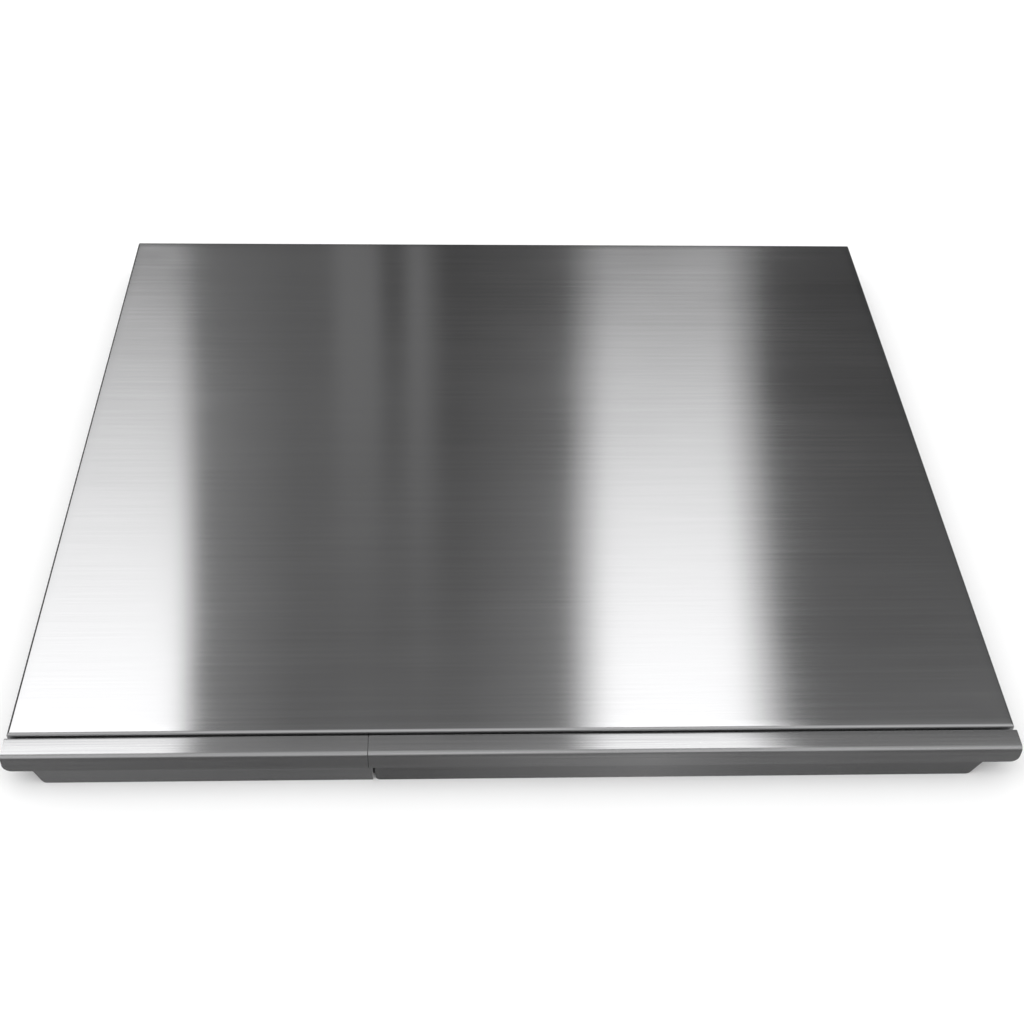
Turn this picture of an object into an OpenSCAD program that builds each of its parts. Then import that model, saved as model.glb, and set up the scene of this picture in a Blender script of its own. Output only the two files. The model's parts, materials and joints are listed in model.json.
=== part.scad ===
// Low deck hatch in folded stainless sheet. A pan-shaped lid overhangs a raised coaming, a front
// sill trim in two lengths covers the drain gutter, two friction hinges hide under the rear
// overhang, and two dogs on the lid's underside turn under the coaming to hold it shut.
// Millimetres. X is the width, -Y is the front, Z is up from the deck.

/* [Overall] */
// Width across the lid's side skirts
lid_w = 600; // [560:10:680]
// Depth from the sill's front face to the lid's rear face
total_d = 532; // [500:2:600]
// Height of the lid's top above the deck
total_h = 27; // [27:0.5:32]

/* [Lid] */
// Thickness of the lid's sheet
lid_t = 1.2; // [1:0.1:1.5]
// Depth of the lid's folded skirts
skirt_h = 13.5; // [12:0.5:14]
// Outside radius of the visible bends
bend_r = 2; // [2:0.1:3]
// Gap between the sill and the lid
lid_gap = 1.5; // [1.5:0.1:3]
// Depth of the hat-shaped stiffeners
rib_h = 8; // [6:0.5:8]
// Width of a stiffener across its flanges
rib_w = 32; // [30:1:36]
// Distance of the side ribs from the middle
rib_x = 165; // [150:1:180]

/* [Sill] */
// Depth of the sill's flat top
sill_d = 15; // [14:0.5:16]
// How far the sill's top lies below the lid's top
sill_drop = 0.5; // [0.5:0.1:1]
// How far the sill stands past the lid at each end
sill_over = 0.5; // [0:0.1:1]
// Thickness of the sill and apron sheet
trim_t = 1.5; // [1.2:0.1:1.5]
// Outside radius of the sill's front bend
sill_bend_r = 3; // [2:0.1:3.5]
// Height of the sill's front lip
lip_h = 13; // [12:0.5:14]
// Radius of the lip's lower end corners
lip_corner_r = 5; // [3:0.5:6]
// Where the two lengths of sill butt together
seam_x = -88; // [-120:1:120]
// Gap at the butt joint of the sill
seam_gap = 0.4; // [0.3:0.1:0.6]
// Where the slit between the two aprons is
slit_x = -85; // [-120:1:120]
// Width of the slit between the aprons
slit_w = 1.4; // [1:0.1:2]
// Inner bottom corner radius of the right apron
slit_corner_r = 3; // [2:0.5:4]
// Distance from the sill's left end to the left apron
apron_left_inset = 15.5; // [12:0.5:20]
// Distance from the sill's right end to the right apron
apron_right_inset = 19.5; // [12:0.5:22]
// Sideways slope of the left apron's end
apron_left_slope = 5; // [0:0.5:8]
// Sideways slope of the right apron's end
apron_right_slope = 7; // [0:0.5:8]

/* [Coaming] */
// Distance from a lid skirt's outer face to the coaming
wall_inset = 26; // [26:1:30]
// Thickness of the coaming's sheet
wall_t = 2; // [1.5:0.1:2]
// Width of the flange that rests on the deck
flange_w = 30; // [28:1:32]
// Width of the return that carries the seal
return_w = 16; // [15:1:18]
// Inside radius of the coaming's bends
coaming_bend_r = 1; // [0.5:0.1:1]
// Distance from the lid's front face to the coaming
gutter_w = 20.5; // [18:0.5:24]
// Height of the gutter's floor above the deck
gutter_z = 10.5; // [9:0.5:11]
// Width of the seal
seal_w = 12; // [10:1:13]
// Height of the seal
seal_h = 2.9; // [2.5:0.1:3.3]
// Radius of the deck screw holes
deck_hole_r = 2.75; // [2.5:0.05:3]
// Distance of the outer deck holes from the middle
deck_hole_x = 220; // [200:5:230]
// Spacing of the inner pair of deck holes on each side
deck_hole_pitch = 150; // [120:5:180]

/* [Hinges] */
// Distance of each hinge from the middle
hinge_x = 200; // [180:5:220]
// Distance from the lid's rear face to the pivot
pivot_inset = 10; // [10:0.1:10.5]
// Height of the pivot above the deck
pivot_z = 12.75; // [12.5:0.05:13]
// Radius of the hinge pin
pin_r = 3; // [2.5:0.1:3]
// Radius of the eyes around the pin
eye_r = 6; // [5.5:0.1:6]
// Width of the lid arm's eye
arm_w = 12; // [10:1:14]
// Thickness of each fixed lug
lug_t = 4; // [3:0.5:5]

/* [Dogs] */
// Distance of each dog from the middle
dog_x = 150; // [140:5:160]
// Distance from the front wall to a dog's axis
dog_inset = 41; // [40:1:42]
// Reach of the tongue from the axis
tongue_reach = 33; // [30:1:34]
// Length of the hand lever from the axis
lever_len = 75; // [60:1:80]
// Radius of the dog's shaft
shaft_r = 5; // [4.5:0.1:5]

/* [Hidden] */
$fn = 48;
eps = 1;

// Running clearance of a shaft in its bore, and the small gap that parts keep face to face
run_gap = 0.05;
face_gap = 0.15;
fit_gap = 0.02;

front = -total_d / 2;
rear = total_d / 2;
lid_front = front + sill_d + lid_gap;
lid_under = total_h - lid_t;
skirt_z = total_h - skirt_h;

sill_top = total_h - sill_drop;
sill_end = lid_w / 2 + sill_over;
lip_z = sill_top - lip_h;
apron_y = front + trim_t;
trim_bend_in = bend_r - trim_t;
apron_top = sill_top - sill_bend_r - 0.1;

seal_gap = 0.4;
wall_h = lid_under - seal_h - seal_gap;
wall_x = lid_w / 2 - wall_inset;
wall_front = lid_front + gutter_w;
wall_rear = rear - wall_inset;
wall_mid = (wall_front + wall_rear) / 2;
wall_bend_out = coaming_bend_r + wall_t;
deck_hole_in = 21;

// The tray's front leg stands behind the apron, so the slit sees past it down to the deck
tray_leg_y = apron_y + trim_t + 6;
tray_up_z = 20;
tray_end = wall_x;

gusset_leg = 24;
gusset_margin = 0.3;

bracket_xs = [-262, -125, -45, 90, 262];
bracket_len = 20;
bracket_foot = 4;
bracket_head_gap = 0.3;
seam_plate_len = 40;

hat_t = 1.2;
hat_flange = 8;
hat_slope = 2;
stiffener_len = 490;
front_stiffener_y = wall_front + 79;
rear_stiffener_y = wall_rear - 68;

pivot_y = rear - pivot_inset;
lug_x = arm_w / 2 + 1 + 2 * face_gap;
hinge_plate_w = 50;
hinge_plate_t = 2.5;
hinge_plate_z = [4.5, 18];
hinge_screw_x = 19;
screw_r = 2.5;
screw_head_r = 4.5;
screw_head_h = 2.4;
nut_h = 3.2;
nut_r = 4.6;
arm_plate_t = 2;
arm_plate_w = 32;
arm_plate_y = [wall_rear + 1, rear - 3];
arm_stud_x = 11;
arm_stud_y = wall_rear + 6;
stud_r = 2;
stud_nut_r = 4;
stud_nut_h = 2.6;
bush_r = pin_r + 1;

dog_y = wall_front + dog_inset;
keeper_len = 64;
keeper_t = 1.5;
keeper_z = wall_h - wall_t - keeper_t;
keeper_y = [wall_front + wall_t + coaming_bend_r, wall_front + return_w - 0.5];
tongue_top = keeper_z - 0.6;
tongue_t = 2.5;
tongue_r = 7;
shaft_flat = 7;
boss_flange_r = 17;
boss_flange_t = 2.5;
boss_r = 9;
boss_z = tongue_top + 0.6;
shaft_head_r = 6.8;
shaft_head_z = lid_under - 3;
lever_top = tongue_top - tongue_t - 0.2;
lever_t = 6;
lever_hub_r = 9;
lever_knob_r = 7;
lever_waist = 4.5;
dog_nut_h = 3;
dog_washer_t = 0.8;
shaft_thread_r = 2.5;
boss_screw_ring = 13;

steel = [0.74, 0.75, 0.76];
brushed = [0.66, 0.67, 0.68];
galley = [0.58, 0.59, 0.61];
fixings = [0.80, 0.80, 0.81];
seal_black = [0.09, 0.09, 0.10];
nylon = [0.16, 0.16, 0.17];
acetal = [0.86, 0.85, 0.80];

// ---------- helpers ----------

// Extrudes a (Y, Z) outline along X, and an (X, Z) outline along Y
module along_x(x0, x1)
    translate([x0, 0, 0])
        rotate([90, 0, 90])
            linear_extrude(x1 - x0)
                children();

module along_y(y0, y1)
    translate([0, y1, 0])
        rotate([90, 0, 0])
            linear_extrude(y1 - y0)
                children();

// A round bar along X or along Y
module bar_x(x0, x1, r)
    translate([x0, 0, 0])
        rotate([0, 90, 0])
            cylinder(h = x1 - x0, r = r);

module bar_y(y0, y1, r)
    translate([0, y1, 0])
        rotate([90, 0, 0])
            cylinder(h = y1 - y0, r = r);

// The piece between a square corner at (x, y) and its arc: added, it fills an inside corner
module corner_fill(x, y, sx, sy, r)
    translate([x, y])
        scale([sx, sy])
            difference() {
                square(r);
                translate([r, r])
                    circle(r);
            }

// The same corner with room outside it: taken away, it rounds an outside corner
module corner_cut(x, y, sx, sy, r)
    translate([x, y])
        scale([sx, sy])
            difference() {
                translate([-eps, -eps])
                    square(r + eps);
                translate([r, r])
                    circle(r);
            }

module rounded_rect(x0, x1, y0, y1, r) {
    translate([x0 + r, y0])
        square([x1 - x0 - 2 * r, y1 - y0]);
    translate([x0, y0 + r])
        square([x1 - x0, y1 - y0 - 2 * r]);
    for (x = [x0 + r, x1 - r])
        for (y = [y0 + r, y1 - r])
            translate([x, y])
                circle(r);
}

module both_sides()
    for (side = [-1, 1])
        scale([side, 1, 1])
            children();

// ---------- coaming ----------

// Wall, deck flange and seal return of one rail, drawn from the wall's outer face inwards
module rail_outline()
    difference() {
        union() {
            square([wall_t, wall_h]);
            square([flange_w, wall_t]);
            translate([0, wall_h - wall_t])
                square([return_w, wall_t]);
            corner_fill(wall_t, wall_t, 1, 1, coaming_bend_r);
            corner_fill(wall_t, wall_h - wall_t, 1, -1, coaming_bend_r);
        }
        corner_cut(0, 0, 1, 1, wall_bend_out);
        corner_cut(0, wall_h, 1, -1, wall_bend_out);
    }

module deck_hole(x, y)
    translate([x, y, -eps])
        cylinder(h = wall_t + 2 * eps, r = deck_hole_r);

// A rail across the front, from the wall's outer face at y = 0 towards +Y
module cross_rail()
    difference() {
        along_x(-wall_x, wall_x)
            rail_outline();
        both_sides()
            translate([wall_x - wall_t, wall_t, -eps])
                cube([wall_t + eps, flange_w, wall_h + 2 * eps]);
        for (x = [deck_hole_x, deck_hole_pitch / 2])
            both_sides()
                deck_hole(x, deck_hole_in);
    }

module front_rail()
    color(steel)
        translate([0, wall_front, 0])
            cross_rail();

module rear_rail()
    color(steel)
        difference() {
            translate([0, wall_rear, 0])
                mirror([0, 1, 0])
                    cross_rail();
            hinge_screw_places()
                bar_y(-wall_t - eps, eps, screw_r + run_gap);
        }

// Side rail on the right. Its flange and return stop where those of the cross rails begin.
module side_rail()
    difference() {
        along_y(wall_front + wall_t, wall_rear - wall_t)
            translate([wall_x, 0])
                mirror([1, 0])
                    rail_outline();
        for (end = [0, 1])
            translate([0, end * 2 * wall_mid, 0])
                mirror([0, end, 0]) {
                    translate([wall_x - flange_w - eps, wall_front, -eps])
                        cube([flange_w + eps - wall_t, return_w, wall_h + 2 * eps]);
                    translate([wall_x - flange_w - eps, wall_front, -eps])
                        cube([flange_w + eps - wall_t, flange_w, wall_h / 2]);
                }
        for (side = [-1, 1])
            deck_hole(wall_x - deck_hole_in, wall_mid + side * deck_hole_pitch / 2);
    }

module left_rail()
    color(steel)
        mirror([1, 0, 0])
            side_rail();

module right_rail()
    color(steel)
        side_rail();

module corner_gussets()
    color(steel)
        both_sides()
            for (end = [0, 1])
                translate([wall_x - wall_t, end * 2 * wall_mid, 0])
                    mirror([0, end, 0])
                        translate([0, wall_front + wall_t, wall_bend_out + gusset_margin])
                            linear_extrude(wall_h - 2 * wall_bend_out - 2 * gusset_margin)
                                difference() {
                                    translate([-gusset_leg, 0])
                                        square(gusset_leg);
                                    translate([-gusset_leg - eps, wall_t])
                                        square([gusset_leg + eps - wall_t, gusset_leg]);
                                }

// Z-shaped tray: an upstand on the coaming, the gutter floor, and a front leg down to the deck
module gutter_tray()
    color(galley)
        along_x(-tray_end, tray_end)
            difference() {
                union() {
                    translate([wall_front - trim_t, gutter_z - trim_t])
                        square([trim_t, tray_up_z - gutter_z + trim_t]);
                    translate([tray_leg_y, gutter_z - trim_t])
                        square([wall_front - tray_leg_y, trim_t]);
                    translate([tray_leg_y, 0])
                        square([trim_t, gutter_z]);
                    corner_fill(wall_front - trim_t, gutter_z, -1, 1, trim_bend_in);
                    corner_fill(tray_leg_y + trim_t, gutter_z - trim_t, 1, -1, trim_bend_in);
                }
                corner_cut(wall_front, gutter_z - trim_t, -1, 1, bend_r);
                corner_cut(tray_leg_y, gutter_z, 1, -1, bend_r);
            }

// ---------- sill ----------

// Front lip, flat top, and a rear leg that stands in the gutter
module sill_outline()
    difference() {
        union() {
            translate([front, sill_top - trim_t])
                square([sill_d, trim_t]);
            translate([front, lip_z])
                square([trim_t, lip_h]);
            translate([front + sill_d - trim_t, gutter_z])
                square([trim_t, sill_top - gutter_z]);
            corner_fill(front + trim_t, sill_top - trim_t, 1, -1, sill_bend_r - trim_t);
            corner_fill(front + sill_d - trim_t, sill_top - trim_t, -1, -1, trim_bend_in);
        }
        corner_cut(front, sill_top, 1, -1, sill_bend_r);
        corner_cut(front + sill_d, sill_top, -1, -1, bend_r);
    }

// One length of sill. The free end's lower lip corner is rounded.
module sill_length(x0, x1, free_end, side)
    color(brushed)
        difference() {
            along_x(x0, x1)
                sill_outline();
            along_y(front - eps, front + 2 * trim_t)
                corner_cut(free_end, lip_z, -side, 1, lip_corner_r);
        }

module sill_left()
    sill_length(-sill_end, seam_x - seam_gap / 2, -sill_end, -1);

module sill_right()
    sill_length(seam_x + seam_gap / 2, sill_end, sill_end, 1);

// Apron from its outer end at x = 0 to its inner end at x = len. The outer end slopes below the lip.
module apron_outline(len, slope)
    polygon([[0, apron_top], [0, lip_z], [slope, 0], [len, 0], [len, apron_top]]);

// Aprons are lapped behind the lip and reach the deck
module apron_left()
    color(brushed)
        translate([-sill_end + apron_left_inset, 0, 0])
            along_y(apron_y, apron_y + trim_t)
                apron_outline(
                    slit_x - slit_w / 2 + sill_end - apron_left_inset, apron_left_slope
                );

module apron_right()
    color(brushed)
        along_y(apron_y, apron_y + trim_t)
            difference() {
                translate([sill_end - apron_right_inset, 0])
                    mirror([1, 0])
                        apron_outline(
                            sill_end - apron_right_inset - slit_x - slit_w / 2, apron_right_slope
                        );
                corner_cut(slit_x + slit_w / 2, 0, 1, 1, slit_corner_r);
            }

// Strap under the butt joint of the two sills
module seam_plate()
    color(galley)
        translate([seam_x - seam_plate_len / 2, apron_y + trim_t + 0.5, sill_top - 2 * trim_t])
            cube([seam_plate_len, sill_d - 4 * trim_t, trim_t]);

// Z-shaped brackets carry the sill's top above the gutter floor
module sill_brackets()
    color(galley)
        for (x = bracket_xs)
            along_x(x - bracket_len / 2, x + bracket_len / 2) {
                translate([tray_leg_y, gutter_z])
                    square([trim_t, sill_top - trim_t - gutter_z]);
                translate([tray_leg_y, gutter_z])
                    square([bracket_foot, trim_t]);
                translate([apron_y + trim_t + bracket_head_gap, sill_top - 2 * trim_t])
                    square([tray_leg_y - apron_y - bracket_head_gap, trim_t]);
            }

module coaming_seal()
    color(seal_black)
        translate([0, 0, wall_h])
            linear_extrude(seal_h)
                difference() {
                    rounded_rect(1 - wall_x, wall_x - 1, wall_front + 1, wall_rear - 1, 10);
                    rounded_rect(
                        1 + seal_w - wall_x, wall_x - 1 - seal_w,
                        wall_front + 1 + seal_w, wall_rear - 1 - seal_w, 4
                    );
                }

// ---------- hinges ----------

module hinge_screw_places()
    both_sides()
        for (side = [-1, 1])
            translate([hinge_x + side * hinge_screw_x, wall_rear, pivot_z - 1])
                children();

module hinge_places()
    both_sides()
        translate([hinge_x, pivot_y, pivot_z])
            children();

// Base plate on the coaming's rear wall with two lugs that reach back to the pin
module hinge_bracket()
    difference() {
        union() {
            translate([-hinge_plate_w / 2, wall_rear, hinge_plate_z[0]])
                cube([hinge_plate_w, hinge_plate_t, hinge_plate_z[1] - hinge_plate_z[0]]);
            for (side = [0, 1])
                mirror([side, 0, 0]) {
                    translate([lug_x, wall_rear, pivot_z - eye_r])
                        cube([lug_t, pivot_y - wall_rear, 2 * eye_r - 0.75]);
                    translate([0, pivot_y, pivot_z])
                        bar_x(lug_x, lug_x + lug_t, eye_r);
                }
        }
        translate([0, pivot_y, pivot_z])
            bar_x(-lug_x - lug_t - eps, lug_x + lug_t + eps, pin_r + fit_gap);
        for (side = [-1, 1])
            translate([side * hinge_screw_x, wall_rear, pivot_z - 1])
                bar_y(-eps, hinge_plate_t + eps, screw_r + run_gap);
    }

module hinge_bracket_left()
    color(steel)
        translate([-hinge_x, 0, 0])
            hinge_bracket();

module hinge_bracket_right()
    color(steel)
        translate([hinge_x, 0, 0])
            hinge_bracket();

// Pan-head screws through the bracket and the wall
module hinge_screws()
    color(fixings)
        hinge_screw_places() {
            bar_y(-wall_t - nut_h - 1.5, hinge_plate_t, screw_r);
            difference() {
                bar_y(hinge_plate_t, hinge_plate_t + screw_head_h, screw_head_r);
                translate([-screw_head_r - eps, hinge_plate_t + screw_head_h / 2, -0.5])
                    cube([2 * screw_head_r + 2 * eps, screw_head_h, 1]);
            }
        }

module hinge_screw_nuts()
    color(fixings)
        hinge_screw_places()
            difference() {
                translate([0, -wall_t, 0])
                    rotate([90, 0, 0])
                        cylinder(h = nut_h, r = nut_r, $fn = 6);
                bar_y(-wall_t - nut_h - eps, eps - wall_t, screw_r + fit_gap);
            }

// Headed pin along X, with its nut at the inner end
module hinge_pin()
    translate([0, pivot_y, pivot_z]) {
        bar_x(-lug_x - lug_t - 3.9, lug_x + lug_t + 0.2, pin_r);
        bar_x(lug_x + lug_t + 0.1, lug_x + lug_t + 2.1, 5);
    }

module hinge_pin_left()
    color(fixings)
        translate([-hinge_x, 0, 0])
            mirror([1, 0, 0])
                hinge_pin();

module hinge_pin_right()
    color(fixings)
        translate([hinge_x, 0, 0])
            hinge_pin();

module hinge_pin_nuts()
    color(fixings)
        hinge_places()
            difference() {
                translate([-lug_x - lug_t - 3.1, 0, 0])
                    rotate([0, 90, 0])
                        cylinder(h = 3, r = 5.6, $fn = 6);
                bar_x(-lug_x - lug_t - 4, -lug_x - lug_t + 1, pin_r + fit_gap);
            }

// Spring washers between the eyes hold the lid where it is left
module friction_washers()
    color(acetal)
        hinge_places()
            for (side = [0, 1])
                mirror([side, 0, 0])
                    difference() {
                        bar_x(arm_w / 2 + face_gap, arm_w / 2 + face_gap + 1, eye_r - 0.4);
                        bar_x(arm_w / 2, arm_w / 2 + 2, pin_r + fit_gap);
                    }

// Arm under the lid: a plate on studs and an eye that hangs down round the pin
module lid_arm()
    difference() {
        union() {
            translate([-arm_plate_w / 2, arm_plate_y[0], lid_under - arm_plate_t])
                cube([arm_plate_w, arm_plate_y[1] - arm_plate_y[0], arm_plate_t]);
            translate([-arm_w / 2, pivot_y - eye_r, pivot_z])
                cube([arm_w, 2 * eye_r, lid_under - arm_plate_t / 2 - pivot_z]);
            translate([0, pivot_y, pivot_z])
                bar_x(-arm_w / 2, arm_w / 2, eye_r);
        }
        translate([0, pivot_y, pivot_z])
            bar_x(-arm_w / 2 - eps, arm_w / 2 + eps, bush_r);
        for (side = [-1, 1])
            translate([side * arm_stud_x, arm_stud_y, lid_under - arm_plate_t - eps])
                cylinder(h = arm_plate_t + 2 * eps, r = stud_r + run_gap);
    }

module lid_arm_left()
    color(steel)
        translate([-hinge_x, 0, 0])
            lid_arm();

module lid_arm_right()
    color(steel)
        translate([hinge_x, 0, 0])
            lid_arm();

module hinge_bushes()
    color(acetal)
        hinge_places()
            difference() {
                bar_x(-arm_w / 2, arm_w / 2, bush_r - fit_gap);
                bar_x(-arm_w / 2 - eps, arm_w / 2 + eps, pin_r + run_gap);
            }

module lid_stud_places()
    both_sides()
        for (side = [-1, 1])
            translate([hinge_x + side * arm_stud_x, arm_stud_y, 0])
                children();

// Studs welded to the lid's underside, so nothing shows on top
module lid_studs()
    color(fixings)
        lid_stud_places()
            translate([0, 0, lid_under - arm_plate_t - stud_nut_h - 0.4])
                cylinder(h = arm_plate_t + stud_nut_h + 0.4, r = stud_r);

module stud_nut(top)
    difference() {
        translate([0, 0, top - stud_nut_h])
            cylinder(h = stud_nut_h, r = stud_nut_r, $fn = 6);
        translate([0, 0, top - stud_nut_h - eps])
            cylinder(h = stud_nut_h + 2 * eps, r = stud_r + fit_gap);
    }

module lid_stud_nuts()
    color(fixings)
        lid_stud_places()
            stud_nut(lid_under - arm_plate_t);

// ---------- lid ----------

module top_rounded(x0, x1, z0, z1, r)
    difference() {
        translate([x0, z0])
            square([x1 - x0, z1 - z0]);
        corner_cut(x0, z1, 1, -1, r);
        corner_cut(x1, z1, -1, -1, r);
    }

// A block whose four top edges are bends that meet in mitres at the corners
module pan_block(half_w, y0, y1, z0, z1, r)
    intersection() {
        along_x(-half_w, half_w)
            top_rounded(y0, y1, z0, z1, r);
        along_y(y0, y1)
            top_rounded(-half_w, half_w, z0, z1, r);
    }

module lid_skin()
    color(brushed)
        difference() {
            pan_block(lid_w / 2, lid_front, rear, skirt_z, total_h, bend_r);
            pan_block(
                lid_w / 2 - lid_t, lid_front + lid_t, rear - lid_t,
                skirt_z - eps, lid_under, bend_r - lid_t
            );
        }

// Hat section that hangs from the lid, drawn about its own middle
module hat_outline() {
    half = rib_w / 2;
    web = half - hat_flange;
    crown = web - hat_slope;
    low = lid_under - rib_h;
    polygon([
        [-half, lid_under], [-half, lid_under - hat_t], [-web, lid_under - hat_t], [-crown, low],
        [crown, low], [web, lid_under - hat_t], [half, lid_under - hat_t], [half, lid_under],
        [web - hat_t, lid_under], [crown - hat_t, low + hat_t],
        [hat_t - crown, low + hat_t], [hat_t - web, lid_under]
    ]);
}

module front_stiffener()
    color(galley)
        along_x(-stiffener_len / 2, stiffener_len / 2)
            translate([front_stiffener_y + rib_w / 2, 0])
                hat_outline();

module rear_stiffener()
    color(galley)
        along_x(-stiffener_len / 2, stiffener_len / 2)
            translate([rear_stiffener_y + rib_w / 2, 0])
                hat_outline();

module long_rib(x)
    color(galley)
        along_y(front_stiffener_y + rib_w, rear_stiffener_y)
            translate([x, 0])
                hat_outline();

module rib_left()
    long_rib(-rib_x);

module rib_centre()
    long_rib(0);

module rib_right()
    long_rib(rib_x);

// ---------- dogs ----------

module dog_keepers()
    color(steel)
        both_sides()
            along_y(keeper_y[0], keeper_y[1])
                translate([dog_x, keeper_z])
                    polygon([
                        [-keeper_len / 2, keeper_t], [keeper_len / 2, keeper_t],
                        [keeper_len / 2 - 10, 0], [10 - keeper_len / 2, 0]
                    ]);

module boss_stud_places()
    both_sides()
        translate([dog_x, dog_y, 0])
            for (turn = [45 : 90 : 315])
                rotate(turn)
                    translate([boss_screw_ring, 0, 0])
                        children();

// Flanged boss under the lid. The shaft's head turns in its counterbore.
module dog_boss()
    translate([dog_x, dog_y, 0])
        difference() {
            union() {
                translate([0, 0, lid_under - boss_flange_t])
                    cylinder(h = boss_flange_t, r = boss_flange_r);
                translate([0, 0, boss_z])
                    cylinder(h = lid_under - boss_z, r = boss_r);
            }
            translate([0, 0, boss_z - eps])
                cylinder(h = lid_under - boss_z + 2 * eps, r = shaft_r + run_gap);
            translate([0, 0, shaft_head_z])
                cylinder(h = lid_under - shaft_head_z + eps, r = shaft_head_r + 0.3);
            for (turn = [45 : 90 : 315])
                rotate(turn)
                    translate([boss_screw_ring, 0, lid_under - boss_flange_t - eps])
                        cylinder(h = boss_flange_t + 2 * eps, r = 1.5 + run_gap);
        }

module dog_boss_left()
    color(steel)
        mirror([1, 0, 0])
            dog_boss();

module dog_boss_right()
    color(steel)
        dog_boss();

module boss_studs()
    color(fixings)
        boss_stud_places()
            translate([0, 0, lid_under - boss_flange_t - 2.4])
                cylinder(h = boss_flange_t + 2.4, r = 1.5);

module boss_stud_nuts()
    color(fixings)
        boss_stud_places()
            translate([0, 0, lid_under - boss_flange_t - 2])
                difference() {
                    cylinder(h = 2, r = 2.9, $fn = 6);
                    translate([0, 0, -eps])
                        cylinder(h = 2 + 2 * eps, r = 1.5 + fit_gap);
                }

// Shaft with a head, a square for the tongue and lever, and a threaded end
module dog_shaft()
    translate([dog_x, dog_y, 0]) {
        translate([0, 0, shaft_head_z + 0.1])
            cylinder(h = 2.4, r = shaft_head_r);
        translate([0, 0, tongue_top])
            cylinder(h = shaft_head_z - tongue_top + 0.2, r = shaft_r);
        translate([-shaft_flat / 2, -shaft_flat / 2, lever_top - lever_t + 0.3])
            cube([shaft_flat, shaft_flat, tongue_top - lever_top + lever_t]);
        translate([0, 0, lever_top - lever_t - dog_nut_h - dog_washer_t - 0.8])
            cylinder(h = dog_nut_h + dog_washer_t + 2, r = shaft_thread_r);
    }

module shaft_square(z0, z1)
    translate([-shaft_flat / 2 - fit_gap, -shaft_flat / 2 - fit_gap, z0 - eps])
        cube([shaft_flat + 2 * fit_gap, shaft_flat + 2 * fit_gap, z1 - z0 + 2 * eps]);

// Tongue, pointing outwards in its released place
module dog_tongue()
    translate([dog_x, dog_y, 0])
        difference() {
            translate([0, 0, tongue_top - tongue_t])
                linear_extrude(tongue_t) {
                    circle(lever_hub_r);
                    translate([0, -tongue_r])
                        square([tongue_reach - tongue_r, 2 * tongue_r]);
                    translate([tongue_reach - tongue_r, 0])
                        circle(tongue_r);
                }
            shaft_square(tongue_top - tongue_t, tongue_top);
        }

// Hand lever, pointing to the middle in its released place
module dog_lever()
    translate([dog_x, dog_y, 0])
        difference() {
            translate([0, 0, lever_top - lever_t])
                linear_extrude(lever_t) {
                    circle(lever_hub_r);
                    polygon([
                        [0, -lever_waist - 2], [0, lever_waist + 2],
                        [lever_knob_r - lever_len, lever_waist],
                        [lever_knob_r - lever_len, -lever_waist]
                    ]);
                    translate([lever_knob_r - lever_len, 0])
                        circle(lever_knob_r);
                }
            shaft_square(lever_top - lever_t, lever_top);
        }

module dog_washer()
    translate([dog_x, dog_y, lever_top - lever_t - dog_washer_t])
        difference() {
            cylinder(h = dog_washer_t, r = 6.5);
            translate([0, 0, -eps])
                cylinder(h = dog_washer_t + 2 * eps, r = shaft_thread_r + fit_gap);
        }

module dog_nut()
    translate([dog_x, dog_y, lever_top - lever_t - dog_washer_t - dog_nut_h])
        difference() {
            cylinder(h = dog_nut_h, r = nut_r, $fn = 6);
            translate([0, 0, -eps])
                cylinder(h = dog_nut_h + 2 * eps, r = shaft_thread_r + fit_gap);
        }

module dog_shaft_right()
    color(fixings)
        dog_shaft();

module dog_tongue_right()
    color(steel)
        dog_tongue();

module dog_lever_right()
    color(nylon)
        dog_lever();

module dog_washer_right()
    color(fixings)
        dog_washer();

module dog_nut_right()
    color(fixings)
        dog_nut();

module dog_shaft_left()
    color(fixings)
        mirror([1, 0, 0])
            dog_shaft();

module dog_tongue_left()
    color(steel)
        mirror([1, 0, 0])
            dog_tongue();

module dog_lever_left()
    color(nylon)
        mirror([1, 0, 0])
            dog_lever();

module dog_washer_left()
    color(fixings)
        mirror([1, 0, 0])
            dog_washer();

module dog_nut_left()
    color(fixings)
        mirror([1, 0, 0])
            dog_nut();

// ---------- drawing ----------

front_rail();
rear_rail();
left_rail();
right_rail();
corner_gussets();
gutter_tray();
sill_left();
sill_right();
apron_left();
apron_right();
seam_plate();
sill_brackets();
coaming_seal();
hinge_bracket_left();
hinge_bracket_right();
hinge_screws();
hinge_screw_nuts();
hinge_pin_left();
hinge_pin_right();
hinge_pin_nuts();
friction_washers();
dog_keepers();
lid_skin();
front_stiffener();
rear_stiffener();
rib_left();
rib_centre();
rib_right();
lid_arm_left();
lid_arm_right();
hinge_bushes();
lid_studs();
lid_stud_nuts();
dog_boss_left();
dog_boss_right();
boss_studs();
boss_stud_nuts();
dog_shaft_left();
dog_tongue_left();
dog_lever_left();
dog_washer_left();
dog_nut_left();
dog_shaft_right();
dog_tongue_right();
dog_lever_right();
dog_washer_right();
dog_nut_right();
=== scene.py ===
import json
import math

import bmesh
import bpy
from mathutils import Matrix, Vector, noise


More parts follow.
